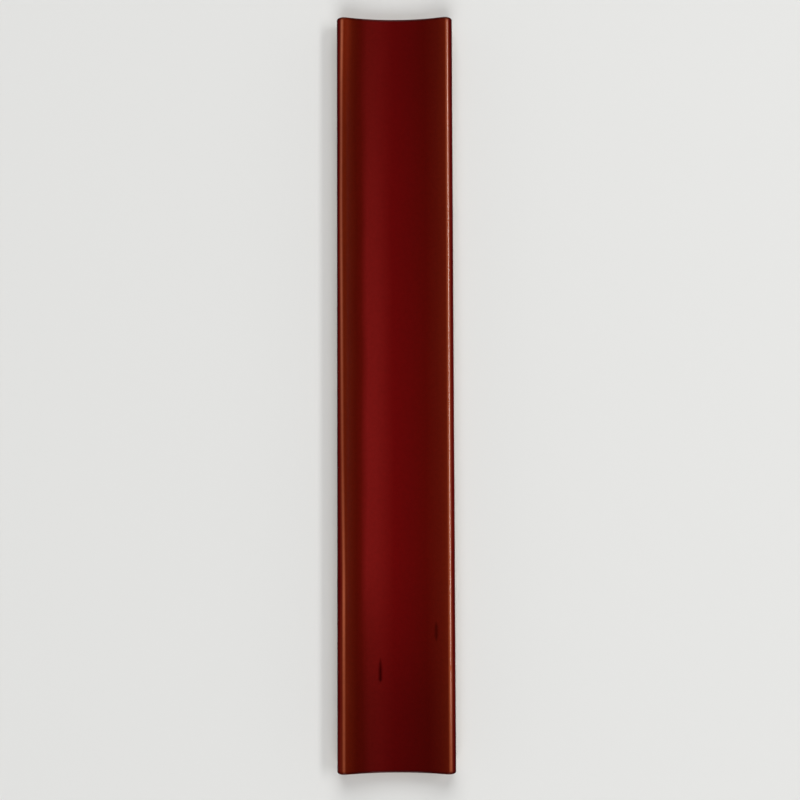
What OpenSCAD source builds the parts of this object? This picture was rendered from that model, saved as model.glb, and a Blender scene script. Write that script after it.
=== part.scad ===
// A concave ceramic wall tile: one fired piece with a single shallow flute along its face, a rounded ridge
// down each long side, rounded edges around the face at both ends, and keying grooves in its flat back.
// It lies on its back with its length along Y and its face up, and the origin is under its middle.

/* [Tile] */
// Width across the two long sides
tile_w = 46.5; // [36:0.5:80]
// Length from end to end
tile_l = 300; // [150:5:600]
// Thickness from the back to the top of the ridges
tile_h = 10; // [9:0.25:16]

/* [Face] */
// Depth of the flute below the top of the ridges
flute_depth = 3.2; // [1.5:0.1:4]
// Radius of the ridge along each long side
ridge_r = 3; // [2:0.1:4]
// Radius of the edge around the face at each end
end_r = 0.8; // [0.3:0.05:1.2]

/* [Back] */
// Bevel around the back
back_bevel = 0.6; // [0.2:0.05:1]
// Width of a keying groove at the back
key_w = 5.6; // [3:0.1:8]
// Depth of a keying groove
key_depth = 0.8; // [0.3:0.1:1.5]
// Lean of a keying groove's walls from upright, in degrees
key_draft = 30; // [5:1:40]
// Width of the land between two keying grooves
key_land = 4.2; // [2:0.1:8]
// Least width of the land along each long side
side_land = 5.5; // [4:0.1:10]
// Length of the land at each end
end_land = 12; // [6:0.5:30]

/* [Hidden] */
$fn = 96;
// The flute's arc is so wide that it takes more sides to look round
flute_fn = 256;
// How far a cut runs past the face that it starts from
past = 1;
// A ridge's axis, out from the middle of the tile and up from its back
ridge_x = tile_w / 2 - ridge_r;
ridge_z = tile_h - ridge_r;
// The flute's arc runs tangent into both ridges' arcs, so its axis is the two radii away from theirs. It
// bites into them by a hair, because two arcs that only touch along a line don't join.
bite = 0.02;
rise = flute_depth - bite;
axis_gap = (pow(ridge_x, 2) + pow(rise, 2)) / (2 * rise);
flute_r = axis_gap - ridge_r + bite;
flute_z = tile_h - flute_depth + flute_r;
// The body's trough runs midway between the underside of the floor and the roots of its rounded ends
trough_r = flute_r + (ridge_r + end_r) / 2;
// How far the face leans where the flute runs into a ridge
lean = asin(ridge_x / axis_gap);
// As many keying grooves as the back has room for, side by side about its middle
key_pitch = key_w + key_land;
key_count = floor((tile_w - 2 * side_land + key_land) / key_pitch);
key_first = -key_pitch * (key_count - 1) / 2;
key_l = tile_l - 2 * end_land;

// A flat strip from the Y axis out to w, as long as the tile, with its two outer corners rounded
module strip(w) {
    translate([0, -tile_l / 2]) square([w - end_r, tile_l]);
    translate([0, end_r - tile_l / 2]) square([w, tile_l - 2 * end_r]);
    for (end = [-1, 1])
        translate([w - end_r, end * (tile_l / 2 - end_r)]) circle(r = end_r);
}

// Turns a profile between two angles about an axis that runs lengthwise, x out and z up
module turned(x, z, from, to)
    translate([x, 0, z]) rotate([90, 0, 0]) rotate_extrude(start = from, angle = to - from) children();

// The body under the face, with a trough that the flute's floor lies in
module body()
    difference() {
        linear_extrude(ridge_z)
            for (side = [0, 1]) mirror([side, 0]) strip(tile_w / 2);
        translate([0, 0, flute_z]) rotate([90, 0, 0])
            cylinder(r = trough_r, h = tile_l + 2 * past, center = true, $fn = flute_fn);
    }

// The curved floor of the flute, as thick as a ridge's radius, with its ends rounded on the face
module flute_floor()
    turned(0, flute_z, 270 - lean, 270 + lean, $fn = flute_fn)
        translate([flute_r + ridge_r, 0]) mirror([1, 0]) strip(ridge_r);

// The ridge down one side, half round, with its ends rounded like the floor's
module ridge() turned(ridge_x, ridge_z, 0, 180) strip(ridge_r);

// The outline of a keying groove that is w wide at the back
module key_outline(w) {
    lean_in = tan(key_draft);
    polygon([
        [-w / 2 - past * lean_in, -past],
        [w / 2 + past * lean_in, -past],
        [w / 2 - key_depth * lean_in, key_depth],
        [-w / 2 + key_depth * lean_in, key_depth]
    ]);
}

// What presses one keying groove: its walls lean in along both sides and at both ends
module key_cut()
    intersection() {
        rotate([90, 0, 0]) linear_extrude(key_l + 4 * past, center = true) key_outline(key_w);
        rotate([90, 0, 90]) linear_extrude(key_w + 4 * past, center = true) key_outline(key_l);
    }

// A square bar on its edge, which bevels one edge of the back of length l
module bevel_cut(l)
    rotate([45, 0, 0])
        cube([l + 2 * past, back_bevel * sqrt(2), back_bevel * sqrt(2)], center = true);

module tile()
    color("#5e0d0b") difference() {
        union() {
            body();
            flute_floor();
            for (side = [0, 1]) mirror([side, 0, 0]) ridge();
        }
        for (i = [0 : key_count - 1])
            translate([key_first + i * key_pitch, 0, 0]) key_cut();
        for (side = [-1, 1]) {
            translate([0, side * tile_l / 2, 0]) bevel_cut(tile_w);
            translate([side * tile_w / 2, 0, 0]) rotate([0, 0, 90]) bevel_cut(tile_l);
        }
    }

tile();
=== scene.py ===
# A concave wall tile in a glossy oxblood glaze, lying on its back on a pale studio floor.
# Sizes in the dictionaries are in millimetres; the mesh is in metres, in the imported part's own frame.
import math
import bpy
import numpy as np
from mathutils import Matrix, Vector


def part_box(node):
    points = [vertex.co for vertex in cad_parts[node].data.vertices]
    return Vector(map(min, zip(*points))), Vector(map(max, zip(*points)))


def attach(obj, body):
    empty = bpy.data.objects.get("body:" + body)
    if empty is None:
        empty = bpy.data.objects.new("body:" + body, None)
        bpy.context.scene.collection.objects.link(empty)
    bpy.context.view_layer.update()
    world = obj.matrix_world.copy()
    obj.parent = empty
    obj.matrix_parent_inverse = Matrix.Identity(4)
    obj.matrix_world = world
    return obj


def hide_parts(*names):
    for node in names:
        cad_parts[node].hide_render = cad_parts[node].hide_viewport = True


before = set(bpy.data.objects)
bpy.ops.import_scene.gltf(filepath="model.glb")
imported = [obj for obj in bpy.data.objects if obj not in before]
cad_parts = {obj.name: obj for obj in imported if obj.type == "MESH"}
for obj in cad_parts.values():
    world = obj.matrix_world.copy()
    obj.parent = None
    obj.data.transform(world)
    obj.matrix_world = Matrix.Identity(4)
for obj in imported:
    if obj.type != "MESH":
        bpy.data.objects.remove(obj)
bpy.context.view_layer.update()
mm = 0.001

tileCorner = [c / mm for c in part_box("tile")[1]]
print("frame loaded, far top corner of the tile in mm:", [round(c, 2) for c in tileCorner])

tile = {
    "halfWidth": tileCorner[0],
    "halfLength": tileCorner[1],
    "height": tileCorner[2],
    "fluteDepth": 3.2,
    "ridgeRadius": 3.0,
    "endRadius": 0.8,        # the rounded edge around the face at both ends
    "backBevel": 0.6,
    "keyWidth": 5.6,         # the keying grooves pressed into the back
    "keyDepth": 0.8,
    "keyLand": 4.2,
    "keyDraft": 30,          # degrees from upright
    "sideLand": 5.5,
    "endLand": 12,
    "coat": 0.16,            # how thick the glaze stands on the bare clay
    "lip": 0.35,             # height of the roll where the glaze stops
    "glazeLine": 3.1,        # where it stops, up from the back
    "glazeWander": 0.55,     # how far that line wanders up and down
    "ripple": 0.05,          # how far the fired surface strays inwards
    "rippleSlant": 1.7,      # how steeply that ripple crosses the tile
    "grain": 0.03,           # how far the bare clay of the walls strays inwards
    # Wavelengths of the sides' sway, the ripple, the glaze line and the grain
    "swayWaves": [210, 95, 47],
    "rippleWaves": [61, 33, 19],
    "lineWaves": [83, 37, 17.3, 9.1],
    "grainWaves": [11, 5.3, 3.1],
    # Mesh points
    "columns": 132,          # across the face
    "ridgeColumns": 33,      # how many of those lie on each ridge
    "stations": 204,         # along the face
    "endStations": 8,        # how many of those lie on each rounded end
    "wallRows": 8,           # down the glazed wall
    "lipRows": 5,            # round the glaze's lip
    "bareRows": [0.3, 0.7, 1],       # down the bare wall, as shares of the way to the bevel
}


def wander(along, lengths, seed):
    # The mean of one sine for each wavelength, each with its own phase: a smooth line within -1 to 1
    phases = np.random.default_rng(seed).uniform(0, 2 * math.pi, len(lengths))
    turns = 2 * math.pi * np.asarray(along)[..., None] / np.asarray(lengths) + phases
    return np.sin(turns).mean(-1)


def crowded(low, high, count, spots, reach, pull):
    # Points from low to high that crowd round the spots: the inverse of a running total of 1 + pull * bell,
    # where a bell is exp(-(distance / reach) ** 2)
    finePoints = 6001
    fine = np.linspace(low, high, finePoints)
    bells = np.exp(-((fine[:, None] - np.asarray(spots)) / reach) ** 2).sum(1)
    total = np.cumsum(1 + pull * bells)
    return np.interp(np.linspace(total[0], total[-1], count), total, fine)


def faceSection(p):
    # The face from side to side is three tangent arcs: ridge, flute, ridge. The flute's axis lies its own
    # radius plus the ridge's away from each ridge's axis. Gives, at each column, x, z and the outward
    # normal's x and z.
    ridgeX, ridgeZ = p["halfWidth"] - p["ridgeRadius"], p["height"] - p["ridgeRadius"]
    axisGap = (ridgeX ** 2 + p["fluteDepth"] ** 2) / (2 * p["fluteDepth"])
    fluteRadius = axisGap - p["ridgeRadius"]
    fluteZ = p["height"] - p["fluteDepth"] + fluteRadius
    lean = math.asin(ridgeX / axisGap)
    turn = np.linspace(math.pi, math.pi / 2 - lean, p["ridgeColumns"])
    sweep = np.linspace(-lean, lean, p["columns"] - 2 * p["ridgeColumns"] + 2)[1:-1]
    nx = np.concatenate([np.cos(turn), -np.sin(sweep), -np.cos(turn[::-1])])
    nz = np.concatenate([np.sin(turn), np.cos(sweep), np.sin(turn[::-1])])
    onRidge = ridgeX - p["ridgeRadius"] * np.cos(turn)
    x = np.concatenate([-onRidge, fluteRadius * np.sin(sweep), onRidge[::-1]])
    z = np.concatenate([ridgeZ + p["ridgeRadius"] * np.sin(turn), fluteZ - fluteRadius * np.cos(sweep),
                        ridgeZ + p["ridgeRadius"] * np.sin(turn[::-1])])
    return x, z, nx, nz


def lengthStations(p):
    # Over the last endRadius at each end the section shrinks by endRadius * (1 - cos q) while y moves by
    # endRadius * sin q. Gives y, that inset, and q, which is also the turn of the outline's normal.
    q = np.linspace(math.pi / 2, 0, p["endStations"], endpoint=False)
    straight = p["halfLength"] - p["endRadius"]
    keyEnd = p["halfLength"] - p["endLand"]
    middle = crowded(-straight, straight, p["stations"] - 2 * p["endStations"],
                     [-keyEnd, -straight, straight, keyEnd], reach=1.6, pull=5)
    onward = p["endRadius"] * np.sin(q)
    y = np.concatenate([-straight - onward, middle, straight + onward[::-1]])
    inset = p["endRadius"] * (1 - np.cos(q))
    inset = np.concatenate([inset, np.zeros(len(middle)), inset[::-1]])
    turn = np.concatenate([-q, np.zeros(len(middle)), q[::-1]])
    return y, inset, turn


def keyCentres(p):
    # As many grooves as there is room for between the side lands, evenly about the middle
    pitch = p["keyWidth"] + p["keyLand"]
    count = math.floor((2 * (p["halfWidth"] - p["sideLand"]) + p["keyLand"]) / pitch)
    return (np.arange(count) - (count - 1) / 2) * pitch


def keyDepthAt(x, y, p):
    # How far the back is pressed in: the distance inside the nearest wall or end, times the wall's slope,
    # and no more than the groove's depth
    slope = 1 / math.tan(math.radians(p["keyDraft"]))
    fromWall = p["keyWidth"] / 2 - np.abs(x[..., None] - keyCentres(p)).min(-1)
    fromEnd = p["halfLength"] - p["endLand"] - np.abs(y)
    return np.clip(np.minimum(fromWall, fromEnd) * slope, 0, p["keyDepth"])


def gridFaces(first, rows, columns, flip=False):
    # Quads between neighbouring rows and columns of a grid of points numbered row by row
    corner = first + (np.arange(rows - 1)[:, None] * columns + np.arange(columns - 1)).ravel()
    quads = np.stack([corner, corner + 1, corner + columns + 1, corner + columns], 1)
    return quads[:, ::-1] if flip else quads


def rim(rows, columns):
    # The numbers of a grid's outer points, once round it anticlockwise
    grid = np.arange(rows * columns).reshape(rows, columns)
    return np.concatenate([grid[0, :-1], grid[:-1, -1], grid[-1, :0:-1], grid[:0:-1, 0]])


def tileMesh(p):
    # One closed skin: a grid for the face, a grid for the back, and rows of wall between their rims. Gives
    # the points, the quads, and which material each quad has: 0 is glaze and 1 is bare clay.
    x, z, nx, nz = faceSection(p)
    y, inset, turn = lengthStations(p)
    rows, columns = len(y), len(x)

    # Face: the section carried along y, drawn in by the end's inset and by what drying and firing left, a
    # sway of the sides and a slanting ripple, which make up half and half of a level from 0 to 1
    sway = wander(y, p["swayWaves"], seed=3)[:, None] * np.sign(x) * (x / p["halfWidth"]) ** 2
    ripple = wander(y[:, None] + p["rippleSlant"] * x, p["rippleWaves"], seed=4)
    draw = inset[:, None] + p["ripple"] * (0.5 + 0.25 * sway + 0.25 * ripple)
    face = np.stack([x - nx * draw, y[:, None] + 0 * x, z - nz * draw], -1)

    # Back: the walls' outline drawn in by the coat and the bevel, filled across, then pressed in by the
    # keying grooves. Its columns crowd round the middles of the grooves' leaning walls.
    under = p["coat"] + p["backBevel"]
    keyWall = p["keyWidth"] / 2 - math.tan(math.radians(p["keyDraft"])) * p["keyDepth"] / 2
    keyWalls = np.concatenate([keyCentres(p) - keyWall, keyCentres(p) + keyWall])
    across = crowded(-1, 1, columns, keyWalls / p["halfWidth"], reach=0.02, pull=3)
    halfAt = p["halfWidth"] - inset - under * np.cos(turn)
    back = np.zeros_like(face)
    back[..., 0] = halfAt[:, None] * across
    back[..., 1] = (y - under * np.sin(turn))[:, None]
    back[..., 2] = keyDepthAt(back[..., 0], back[..., 1], p)

    # Walls: each rim point of the face is led down to its rim point of the back
    ring = rim(rows, columns)
    top = face.reshape(-1, 3)[ring]
    station, column = ring // columns, ring % columns
    onSide = (column == 0) | (column == columns - 1)
    side = np.where(column == 0, -1, 1)
    out = np.stack([np.where(onSide, side * np.cos(turn[station]), 0),
                    np.where(onSide, np.sin(turn[station]), np.sign(y[station]))], -1)
    foot = back.reshape(-1, 3)[ring, :2] + under * out
    girth = np.concatenate([[0], np.cumsum(np.linalg.norm(np.diff(top[:, :2], axis=0), axis=1))])
    line = p["glazeLine"] + p["glazeWander"] * wander(girth, p["lineWaves"], seed=5)

    def wallRow(height, inward, share):
        # A ring at a height, at a share of the way from the face's rim to the foot, drawn inwards
        plan = top[:, :2] * (1 - share) + foot * share - out * np.reshape(inward, (-1, 1))
        return np.column_stack([plan, np.broadcast_to(height, len(ring))])

    walls = []
    for share in np.linspace(0, 1, p["wallRows"] + 1)[1:]:         # glazed wall, down to the lip
        walls.append(wallRow(top[:, 2] + (line + p["lip"] - top[:, 2]) * share, 0, share))
    for q in np.linspace(0, math.pi / 2, p["lipRows"] + 1)[1:]:    # the lip, a quarter of an ellipse
        walls.append(wallRow(line + p["lip"] * (1 - math.sin(q)), p["coat"] * (1 - math.cos(q)), 1))
    glazedRows = len(walls)
    grain = p["grain"] * (1 + wander(girth, p["grainWaves"], seed=6))
    for share in p["bareRows"]:                                    # bare clay below it
        walls.append(wallRow(line + (p["backBevel"] - line) * share, p["coat"] + grain * (1 - share), 1))
    walls.append(wallRow(p["backBevel"] / 2, p["coat"] + p["backBevel"] / 2, 1))

    # Numbering: face, wall rows, back
    count, around = rows * columns, len(ring)
    wallPoints = count + np.arange(len(walls))[:, None] * around + np.arange(around)
    ladder = np.concatenate([ring[None], wallPoints, ring[None] + count + len(walls) * around])
    ladder = np.concatenate([ladder, ladder[:, :1]], 1)
    wallFaces = np.stack([ladder[:-1, :-1], ladder[1:, :-1], ladder[1:, 1:], ladder[:-1, 1:]], -1)
    points = np.concatenate([face.reshape(-1, 3), *walls, back.reshape(-1, 3)])
    faces = np.concatenate([gridFaces(0, rows, columns), wallFaces.reshape(-1, 4),
                            gridFaces(count + len(walls) * around, rows, columns, flip=True)])
    bare = np.zeros(len(faces), np.int32)
    bare[(rows - 1) * (columns - 1) + glazedRows * around:] = 1
    return points * mm, faces, bare


def makePiece(name, points, faces, slots, materials, sharpDegrees):
    # Puts the arrays into a mesh, smooth apart from edges sharper than sharpDegrees
    mesh = bpy.data.meshes.new(name)
    mesh.from_pydata(points.tolist(), [], faces.tolist())
    for material in materials:
        mesh.materials.append(material)
    mesh.polygons.foreach_set("material_index", slots)
    mesh.shade_smooth()
    mesh.set_sharp_from_angle(angle=math.radians(sharpDegrees))
    mesh.validate()
    piece = bpy.data.objects.new(name, mesh)
    bpy.context.scene.collection.objects.link(piece)
    return piece


def linear(hexColour):
    # An sRGB hex colour as the four linear values that the shaders take
    parts = [int(hexColour[i:i + 2], 16) / 255 for i in (1, 3, 5)]
    return [c / 12.92 if c <= 0.04045 else ((c + 0.055) / 1.055) ** 2.4 for c in parts] + [1]


def addNode(tree, kind, inputs=None, output=0, stops=None, **settings):
    # Adds a node, sets its properties and a ramp's stops, and gives each input a value or a link
    node = tree.nodes.new(kind)
    for key, value in settings.items():
        setattr(node, key, value)
    for key, value in (inputs or {}).items():
        if isinstance(value, bpy.types.NodeSocket):
            tree.links.new(value, node.inputs[key])
        else:
            node.inputs[key].default_value = value
    if stops:
        ramp = node.color_ramp.elements
        ramp[0].position, ramp[0].color = stops[0]
        ramp[-1].position, ramp[-1].color = stops[-1]
        for place, colour in stops[1:-1]:
            ramp.new(place).color = colour
    return node.outputs[output] if node.outputs else node


def rampStops(table, low=0, high=1):
    # A table of places and colours, or of places and levels, as ramp stops: a place becomes its share of
    # the way from low to high
    colours = [linear(c) if isinstance(c, str) else (c, c, c, 1) for place, c in table]
    return [((place - low) / (high - low), colour) for (place, c), colour in zip(table, colours)]


def newMaterial(name):
    # An empty node material and its tree
    material = bpy.data.materials.new(name)
    material.use_nodes = True
    material.node_tree.nodes.clear()
    return material, material.node_tree


noiseSpan = (0.3, 0.7)       # what a noise texture's value mostly stays within
# The sockets of a Mix node for colours go by number, because several of them share a name
mixFactor, mixFrom, mixTo, mixed = 0, 6, 7, 2

glaze = {
    "roughness": 0.08,
    "ior": 1.5,
    "reach": (24, 150),      # the tables below run this far either way, across and along
    # From the left side to the right: brown where the glaze drains thin off a ridge, and dark down the
    # outside
    "across": [(-23.2, "#480000"), (-22.4, "#520101"), (-21.9, "#5E1006"), (-20.6, "#621C09"),
               (-18.6, "#561204"), (-15.5, "#4F0A02"), (-12.5, "#5A0B06"), (-6.0, "#650A09"),
               (0.0, "#620707"), (6.0, "#5D0706"), (12.0, "#570804"), (17.0, "#5B1007"),
               (20.2, "#631809"), (21.9, "#5E0C05"), (22.5, "#520101"), (23.2, "#480000")],
    # Streaks, a clearer red one left of the middle, partly glaze colour and partly painted light from the
    # right, fading towards the ends as painted shade, and a browner one beside the left amber line at the
    # far end: colour, then how strong it is across the tile and along it
    "streaks": [("#741412",
                 [(-13.5, 0.0), (-11.0, 1.0), (-7.8, 0.95), (-4.8, 0.5), (-1.0, 0.0)],
                 [(-150, 0.38), (-98, 0.45), (-72, 0.9), (-20, 1.0), (50, 0.9), (130, 0.5), (150, 0.4)]),
                ("#6E1F0A",
                 [(-21.4, 0.0), (-20.4, 0.85), (-19.0, 0.85), (-18.0, 0.5), (-17.0, 0.15), (-13.0, 0.0)],
                 [(98, 0.0), (106, 0.12), (118, 0.4), (128, 0.6), (138, 0.95), (150, 1.0)])],
    # Painted shade along the tile: how bright the flute is along it, darker towards both ends, and how far
    # out across it that reaches
    "along": [(-150, 0.60), (-122, 0.68), (-96, 0.87), (-66, 0.99), (0, 0.98), (40, 0.93), (84, 0.89),
              (125, 0.80), (150, 0.77)],
    "paintedShadeReach": [(-20.0, 0.1), (-12.0, 1.0), (12.0, 1.0), (20.0, 0.65)],
    # The amber line along each ridge, where the glaze breaks thin over the crest, which also carries a
    # painted highlight: middle, half width, colour, then along the tile how far it strays inwards and how
    # strong it is
    "lines": [(-21.5, 0.75, "#AC5A3D",
               [(-150, 1.0), (-72, 1.0), (-20, 0.45), (76, 0.0), (125, 0.2), (150, 0.5)],
               [(-150, 0.55), (-121, 0.61), (-108, 0.73), (-94, 0.93), (-81, 1.0), (-68, 0.82),
                (-54, 0.67), (-27, 0.49), (0, 0.58), (38, 0.72), (70, 0.66), (107, 0.60), (121, 0.70),
                (134, 1.0), (150, 1.0)]),
              (21.1, 0.9, "#A85434",
               [(-150, 0.0), (150, 0.0)],
               [(-150, 0.72), (-133, 0.78), (-118, 1.0), (150, 1.0)])],
    "lineEnds": (149.6, 148.4),      # where the lines stop and where they are whole, out from the middle
    # Painted shade, a dark line along the rounded edge at each end: distance out from the middle, level
    "rim": [(148.7, 1.0), (149.2, 0.55), (149.7, 0.55), (149.95, 1.0)],
    "rimShadeReach": (148, 150),
    # Marks in the glaze, a teardrop and a tick: x, top end, length, half width, tint, and the outline's
    # share of that half width from top to tail
    "marks": [(-6.3, -104.6, 11.0, 1.3, "#9C0808",
               [(0.0, 0.0), (0.12, 0.5), (0.25, 0.78), (0.45, 0.97), (0.85, 1.0), (1.0, 0.0)]),
              (15.65, -89.7, 10.2, 1.2, "#C2B088",
               [(0.0, 0.0), (0.2, 0.65), (0.35, 1.0), (0.7, 1.0), (0.85, 0.6), (1.0, 0.0)])],
    "pinholes": [(20.95, -109.0, 1.2), (20.7, -132.2, 1.1)],       # x, y, radius
    "pinholeFloor": 0.3,     # how much of its radius a pinhole's flat bottom takes
    "pitDepth": 0.04,        # and how deep it is
    # Shine across the tile, little on the outer walls where the coat is thin and dry
    "shine": [(-21.95, 0.0), (-21.5, 1.0), (21.5, 1.0), (21.95, 0.0)],
    "shineLevels": (0.01, 0.5),      # specular level where it is dry, and where it is wet
    "drift": 1.2,            # how far the colours stray sideways
    "driftLength": 45,       # over what length along the tile, and over what width
    "driftWidth": 8.3,
    "cloudSize": 1.3,        # small clouds, and how much they darken and lighten the colour
    "cloudLevels": (0.95, 1.05),
    "peelSize": 2.4,         # the orange-peel skin
    "peelHeight": 0.01,
    "peelStrength": 0.5,
}


def oxbloodGlaze(g):
    # Oxblood, a copper-red stoneware glaze fired glossy. It is a deep clear red where it pools, and brown
    # and then amber where it drains thin off an edge, under a wet shine with a faint orange-peel skin. Its
    # colour also holds painted light: a streak that is partly painted light, painted highlights in the
    # amber lines, and painted shade towards the ends and along the rounded ends.
    material, tree = newMaterial("oxblood_glaze")
    wide, far = g["reach"]
    place = addNode(tree, "ShaderNodeTexCoord", output="Object")
    place = addNode(tree, "ShaderNodeVectorMath", {0: place, "Scale": 1 / mm}, operation="SCALE")
    x = addNode(tree, "ShaderNodeSeparateXYZ", {0: place}, "X")
    y = addNode(tree, "ShaderNodeSeparateXYZ", {0: place}, "Y")
    drift = (1 / g["driftWidth"], 1 / g["driftLength"], 1 / g["driftWidth"])
    flow = addNode(tree, "ShaderNodeVectorMath", {0: place, 1: drift}, operation="MULTIPLY")
    flow = addNode(tree, "ShaderNodeTexNoise", {"Vector": flow, "Scale": 1.0, "Detail": 2.0})
    flow = addNode(tree, "ShaderNodeMapRange", {"Value": flow, "To Min": -g["drift"], "To Max": g["drift"]})
    strayed = addNode(tree, "ShaderNodeMath", {0: x, 1: flow}, operation="ADD")
    across = addNode(tree, "ShaderNodeMapRange", {"Value": strayed, "From Min": -wide, "From Max": wide})
    along = addNode(tree, "ShaderNodeMapRange", {"Value": y, "From Min": -far, "From Max": far})

    # Bands of colour across, the streaks, which are partly painted light, and the darker ends, which are
    # painted shade
    colour = addNode(tree, "ShaderNodeValToRGB", {0: across}, stops=rampStops(g["across"], -wide, wide))
    for tint, sideways, lengthways in g["streaks"]:
        streak = addNode(tree, "ShaderNodeValToRGB", {0: across}, stops=rampStops(sideways, -wide, wide))
        strong = addNode(tree, "ShaderNodeValToRGB", {0: along}, stops=rampStops(lengthways, -far, far))
        streak = addNode(tree, "ShaderNodeMath", {0: streak, 1: strong}, operation="MULTIPLY")
        colour = addNode(tree, "ShaderNodeMix",
                         {mixFactor: streak, mixFrom: colour, mixTo: linear(tint)}, mixed,
                         data_type="RGBA")
    # Painted shade: the flute darker towards both ends
    level = addNode(tree, "ShaderNodeValToRGB", {0: along}, stops=rampStops(g["along"], -far, far))
    reach = addNode(tree, "ShaderNodeValToRGB", {0: across}, stops=rampStops(g["paintedShadeReach"], -wide, wide))
    colour = addNode(tree, "ShaderNodeMix", {mixFactor: reach, mixFrom: colour, mixTo: level}, mixed,
                     data_type="RGBA", blend_type="MULTIPLY")

    # The amber lines, where the glaze breaks thin over the crests, carrying a painted highlight too; they
    # stop short of the rounded ends, as the highlights do
    outward = addNode(tree, "ShaderNodeMath", {0: y}, operation="ABSOLUTE")
    whole = addNode(tree, "ShaderNodeMapRange",
                    {"Value": outward, "From Min": g["lineEnds"][0], "From Max": g["lineEnds"][1]})
    for middle, half, amber, inwards, strength in g["lines"]:
        stray = addNode(tree, "ShaderNodeValToRGB", {0: along}, stops=rampStops(inwards, -far, far))
        stray = addNode(tree, "ShaderNodeMath", {0: stray, 1: math.copysign(1, middle), 2: x},
                        operation="MULTIPLY_ADD")
        stray = addNode(tree, "ShaderNodeMapRange", {"Value": stray, "From Min": -wide, "From Max": wide})
        bell = rampStops([(middle - half, 0.0), (middle, 1.0), (middle + half, 0.0)], -wide, wide)
        bell = addNode(tree, "ShaderNodeValToRGB", {0: stray}, stops=bell)
        bell = addNode(tree, "ShaderNodeMath", {0: bell, 1: whole}, operation="MULTIPLY")
        strong = addNode(tree, "ShaderNodeValToRGB", {0: along}, stops=rampStops(strength, -far, far))
        bell = addNode(tree, "ShaderNodeMath", {0: bell, 1: strong}, operation="MULTIPLY")
        colour = addNode(tree, "ShaderNodeMix",
                         {mixFactor: bell, mixFrom: colour, mixTo: linear(amber)}, mixed,
                         data_type="RGBA")

    # The marks: each is as wide as its outline's table says, from its top end to its tail
    for middle, top, length, half, tint, outline in g["marks"]:
        down = addNode(tree, "ShaderNodeMapRange", {"Value": y, "From Min": top, "From Max": top - length})
        width = addNode(tree, "ShaderNodeValToRGB", {0: down}, stops=rampStops(outline))
        aside = addNode(tree, "ShaderNodeMath", {0: x, 1: middle}, operation="SUBTRACT")
        aside = addNode(tree, "ShaderNodeMath", {0: aside}, operation="ABSOLUTE")
        inside = addNode(tree, "ShaderNodeMath", {0: aside, 1: -1 / half, 2: width},
                         operation="MULTIPLY_ADD")
        inside = addNode(tree, "ShaderNodeMapRange", {"Value": inside}, interpolation_type="SMOOTHSTEP")
        colour = addNode(tree, "ShaderNodeMix",
                         {mixFactor: inside, mixFrom: colour, mixTo: linear(tint)}, mixed,
                         data_type="RGBA", blend_type="MULTIPLY")

    # The dark rim at each end, a painted shade line, and cloudiness all over
    near, end = g["rimShadeReach"]
    edge = addNode(tree, "ShaderNodeMapRange", {"Value": outward, "From Min": near, "From Max": end})
    edge = addNode(tree, "ShaderNodeValToRGB", {0: edge}, stops=rampStops(g["rim"], near, end))
    colour = addNode(tree, "ShaderNodeMix", {mixFactor: 1.0, mixFrom: colour, mixTo: edge}, mixed,
                     data_type="RGBA", blend_type="MULTIPLY")
    cloud = addNode(tree, "ShaderNodeTexNoise",
                    {"Vector": place, "Scale": 1 / g["cloudSize"], "Detail": 2.0})
    cloud = addNode(tree, "ShaderNodeMapRange",
                    {"Value": cloud, "From Min": noiseSpan[0], "From Max": noiseSpan[1],
                     "To Min": g["cloudLevels"][0], "To Max": g["cloudLevels"][1]})
    colour = addNode(tree, "ShaderNodeMix", {mixFactor: 1.0, mixFrom: colour, mixTo: cloud}, mixed,
                     data_type="RGBA", blend_type="MULTIPLY")

    # Pinholes, where a bubble broke through the coat: small dull pits
    flat = addNode(tree, "ShaderNodeVectorMath", {0: place, 1: (1, 1, 0)}, operation="MULTIPLY")
    pits = 0.0
    for middle, down, radius in g["pinholes"]:
        away = addNode(tree, "ShaderNodeVectorMath", {0: flat, 1: (middle, down, 0)}, "Value",
                       operation="DISTANCE")
        away = addNode(tree, "ShaderNodeMapRange",
                       {"Value": away, "From Min": radius, "From Max": g["pinholeFloor"] * radius},
                       interpolation_type="SMOOTHSTEP")
        pits = addNode(tree, "ShaderNodeMath", {0: pits, 1: away}, operation="MAXIMUM")
    sound = addNode(tree, "ShaderNodeMath", {0: 1.0, 1: pits}, operation="SUBTRACT")

    # Shine, and the orange-peel skin with the pits sunk into it
    shine = addNode(tree, "ShaderNodeMapRange", {"Value": x, "From Min": -wide, "From Max": wide})
    shine = addNode(tree, "ShaderNodeValToRGB", {0: shine}, stops=rampStops(g["shine"], -wide, wide))
    shine = addNode(tree, "ShaderNodeMath", {0: shine, 1: whole}, operation="MULTIPLY")
    shine = addNode(tree, "ShaderNodeMath", {0: shine, 1: sound}, operation="MULTIPLY")
    dry, wet = g["shineLevels"]
    shine = addNode(tree, "ShaderNodeMapRange", {"Value": shine, "To Min": dry, "To Max": wet})
    peel = addNode(tree, "ShaderNodeTexNoise",
                   {"Vector": place, "Scale": 1 / g["peelSize"], "Detail": 2.0})
    skin = addNode(tree, "ShaderNodeMath", {0: pits, 1: -g["pitDepth"] / g["peelHeight"], 2: peel},
                   operation="MULTIPLY_ADD")
    bump = addNode(tree, "ShaderNodeBump",
                   {"Height": skin, "Strength": g["peelStrength"], "Distance": g["peelHeight"] * mm})
    shader = addNode(tree, "ShaderNodeBsdfPrincipled",
                     {"Base Color": colour, "Roughness": g["roughness"], "IOR": g["ior"],
                      "Specular IOR Level": shine, "Normal": bump})
    addNode(tree, "ShaderNodeOutputMaterial", {"Surface": shader})
    return material


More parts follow.
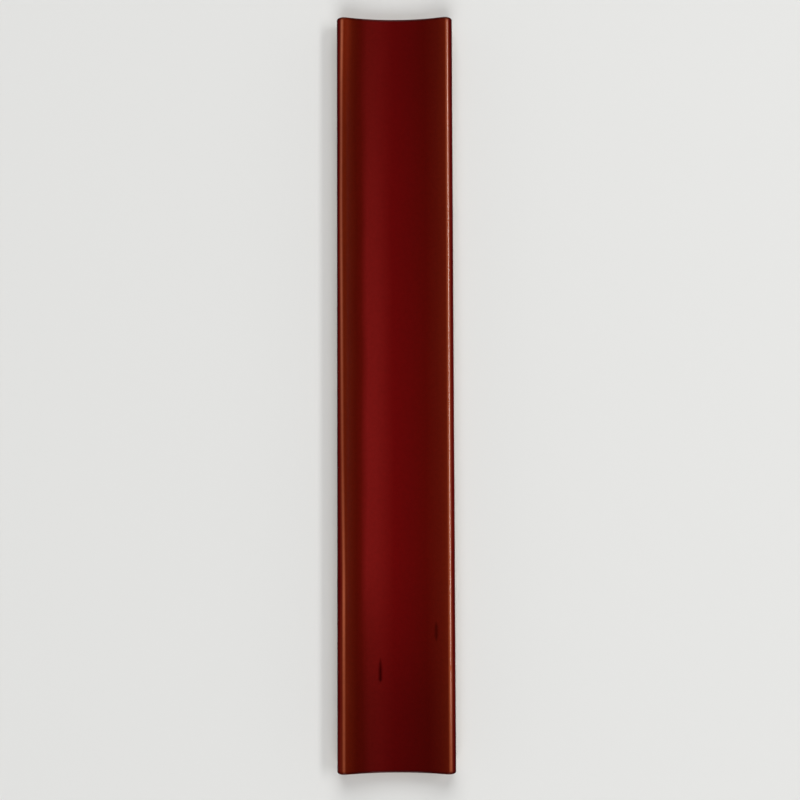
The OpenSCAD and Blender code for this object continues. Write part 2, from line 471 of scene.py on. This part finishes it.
clay = {
    "buff": "#BDA488",
    "warm": "#A97F60",       # toasted under the edge of the glaze
    "warmFrom": 1.4,         # height up from the back at which that starts
    "warmPatch": 14,         # size of the patches it comes in
    "speck": "#6E5240",      # iron specks
    "speckSpacing": 1.6,
    "speckSize": 0.22,
    "grogSize": 0.7,         # the sandy tooth, and how much it darkens and lightens the colour
    "grogLevels": (0.86, 1.08),
    "grogHeight": 0.05,
    "grogStrength": 0.8,
    "roughness": 0.92,
}


def stonewareBody(c):
    # Stoneware body, dust-pressed and fired bare: dry matt buff clay with a sandy tooth and a few iron
    # specks
    material, tree = newMaterial("stoneware_body")
    place = addNode(tree, "ShaderNodeTexCoord", output="Object")
    place = addNode(tree, "ShaderNodeVectorMath", {0: place, "Scale": 1 / mm}, operation="SCALE")
    z = addNode(tree, "ShaderNodeSeparateXYZ", {0: place}, output="Z")
    grog = addNode(tree, "ShaderNodeTexNoise",
                   {"Vector": place, "Scale": 1 / c["grogSize"], "Detail": 4.0})
    patch = addNode(tree, "ShaderNodeTexNoise",
                    {"Vector": place, "Scale": 1 / c["warmPatch"], "Detail": 3.0})
    toast = addNode(tree, "ShaderNodeMapRange",
                    {"Value": z, "From Min": c["warmFrom"], "From Max": tile["glazeLine"]})
    toast = addNode(tree, "ShaderNodeMath", {0: toast, 1: patch}, operation="MULTIPLY")
    colour = addNode(tree, "ShaderNodeMix",
                     {mixFactor: toast, mixFrom: linear(c["buff"]), mixTo: linear(c["warm"])}, mixed,
                     data_type="RGBA")
    shade = addNode(tree, "ShaderNodeMapRange",
                    {"Value": grog, "From Min": noiseSpan[0], "From Max": noiseSpan[1],
                     "To Min": c["grogLevels"][0], "To Max": c["grogLevels"][1]})
    colour = addNode(tree, "ShaderNodeMix", {mixFactor: 1.0, mixFrom: colour, mixTo: shade}, mixed,
                     data_type="RGBA", blend_type="MULTIPLY")
    near = addNode(tree, "ShaderNodeTexVoronoi", {"Vector": place, "Scale": 1 / c["speckSpacing"]},
                   "Distance")
    speckReach = c["speckSize"] / c["speckSpacing"]
    speck = addNode(tree, "ShaderNodeMapRange",
                    {"Value": near, "From Min": speckReach, "From Max": speckReach / 2})
    colour = addNode(tree, "ShaderNodeMix",
                     {mixFactor: speck, mixFrom: colour, mixTo: linear(c["speck"])}, mixed,
                     data_type="RGBA")
    bump = addNode(tree, "ShaderNodeBump",
                   {"Height": grog, "Strength": c["grogStrength"], "Distance": c["grogHeight"] * mm})
    shader = addNode(tree, "ShaderNodeBsdfPrincipled",
                     {"Base Color": colour, "Roughness": c["roughness"], "Normal": bump})
    addNode(tree, "ShaderNodeOutputMaterial", {"Surface": shader})
    return material


tileMaterials = [oxbloodGlaze(glaze), stonewareBody(clay)]
print("materials made:", ", ".join(material.name for material in tileMaterials))
glazedTile = makePiece("glazed_tile", *tileMesh(tile), tileMaterials, sharpDegrees=32)
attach(glazedTile, "root")
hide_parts("tile")
print("tile made:", len(glazedTile.data.polygons), "faces")

studio = {
    "floor": "#E4E4E2",
    "floorRoughness": 0.9,
    "floorRadius": 30.0,     # metres, as are the strips' sizes
    "floorPoints": 96,
    # Strip lights whose reflections run along the ridges: name, degrees off upright, distance, across,
    # along, shift along the tile, radiance
    "strips": [("right_strip", 40.3, 2.4, 0.40, 2.05, 0.275, 9.0),
               ("left_strip", -41, 2.4, 0.42, 1.5, 0.75, 0.3)],
    "stripFade": 0.2,        # how much of its length a strip takes to fade out at each end
    # Broad soft light from beyond either end: name, degrees off upright, how wide it looks in degrees,
    # strength
    "skies": [("far_sky", 52, 42, 1.65), ("near_sky", -52, 42, 1.65)],
    # The backdrop by height: pale round the horizon and dark overhead, where the flute would mirror it
    "backdrop": [(0.26, 0.76), (0.40, 0.12), (0.8, 0.01)],
}


def strip(name, degrees, distance, across, along, shift, radiance):
    # A strip that leans over the tile and faces it. A lamp's power is its radiance times pi times its area.
    lamp = bpy.data.lights.new(name, "AREA")
    lamp.shape = "RECTANGLE"
    lamp.size, lamp.size_y = across, along
    lamp.energy = radiance * math.pi * across * along
    lamp.use_nodes = True
    tree = lamp.node_tree
    tree.nodes.clear()
    spot = addNode(tree, "ShaderNodeNewGeometry", output="Parametric")
    spot = addNode(tree, "ShaderNodeSeparateXYZ", {0: spot}, output="Y")
    fade = [(0, 0.0), (studio["stripFade"], 1.0), (1 - studio["stripFade"], 1.0), (1, 0.0)]
    level = addNode(tree, "ShaderNodeValToRGB", {0: spot}, stops=rampStops(fade))
    glow = addNode(tree, "ShaderNodeEmission", {"Strength": level})
    addNode(tree, "ShaderNodeOutputLight", {"Surface": glow})
    lean = math.radians(degrees)
    box = bpy.data.objects.new(name, lamp)
    box.location = (distance * math.sin(lean), shift, distance * math.cos(lean))
    box.rotation_euler = (0, lean, 0)
    bpy.context.scene.collection.objects.link(box)


def sky(name, degrees, wide, strength):
    # A distant light seen as a disc, over the far or the near end
    lamp = bpy.data.lights.new(name, "SUN")
    lamp.energy = strength
    lamp.angle = math.radians(wide)
    disc = bpy.data.objects.new(name, lamp)
    disc.rotation_euler = (math.radians(-degrees), 0, 0)
    bpy.context.scene.collection.objects.link(disc)


def studioWorld():
    # The backdrop, its level read off the height of the view's direction
    world = bpy.data.worlds.new("studio_world")
    world.use_nodes = True
    tree = world.node_tree
    tree.nodes.clear()
    direction = addNode(tree, "ShaderNodeTexCoord", output="Generated")
    height = addNode(tree, "ShaderNodeSeparateXYZ", {0: direction}, output="Z")
    level = addNode(tree, "ShaderNodeValToRGB", {0: height}, stops=rampStops(studio["backdrop"]))
    glow = addNode(tree, "ShaderNodeBackground", {"Color": level})
    addNode(tree, "ShaderNodeOutputWorld", {"Surface": glow})
    bpy.context.scene.world = world


def studioFloor():
    # A flat pale disc in the plane of the tile's back: a circle of points, filled
    turn = np.linspace(0, 2 * math.pi, studio["floorPoints"], endpoint=False)
    points = np.stack([np.cos(turn), np.sin(turn), 0 * turn], 1) * studio["floorRadius"]
    mesh = bpy.data.meshes.new("floor")
    mesh.from_pydata(points.tolist(), [], [list(range(len(points)))])
    material, tree = newMaterial("floor_paint")
    shader = addNode(tree, "ShaderNodeBsdfPrincipled",
                     {"Base Color": linear(studio["floor"]), "Roughness": studio["floorRoughness"]})
    addNode(tree, "ShaderNodeOutputMaterial", {"Surface": shader})
    mesh.materials.append(material)
    floor = bpy.data.objects.new("floor", mesh)
    bpy.context.scene.collection.objects.link(floor)


for settings in studio["strips"]:
    strip(*settings)
for settings in studio["skies"]:
    sky(*settings)
studioWorld()
studioFloor()
print("studio set:", len(studio["strips"]) + len(studio["skies"]), "lights")

camera = {
    "lens": 52.69,
    "sensor": 36,
    "place": (0.00168, -0.0284, 0.4713),     # metres
    "tilt": 3.0,             # degrees off straight down
    "roll": -0.2,            # degrees about the upright
}
view = bpy.data.objects.new("camera", bpy.data.cameras.new("camera"))
view.data.lens = camera["lens"]
view.data.sensor_width = camera["sensor"]
view.location = camera["place"]
view.rotation_euler = (math.radians(camera["tilt"]), 0, math.radians(camera["roll"]))
bpy.context.scene.collection.objects.link(view)
bpy.context.scene.camera = view
bpy.context.scene.view_settings.view_transform = "Standard"
print("camera set:", camera["lens"], "mm lens")
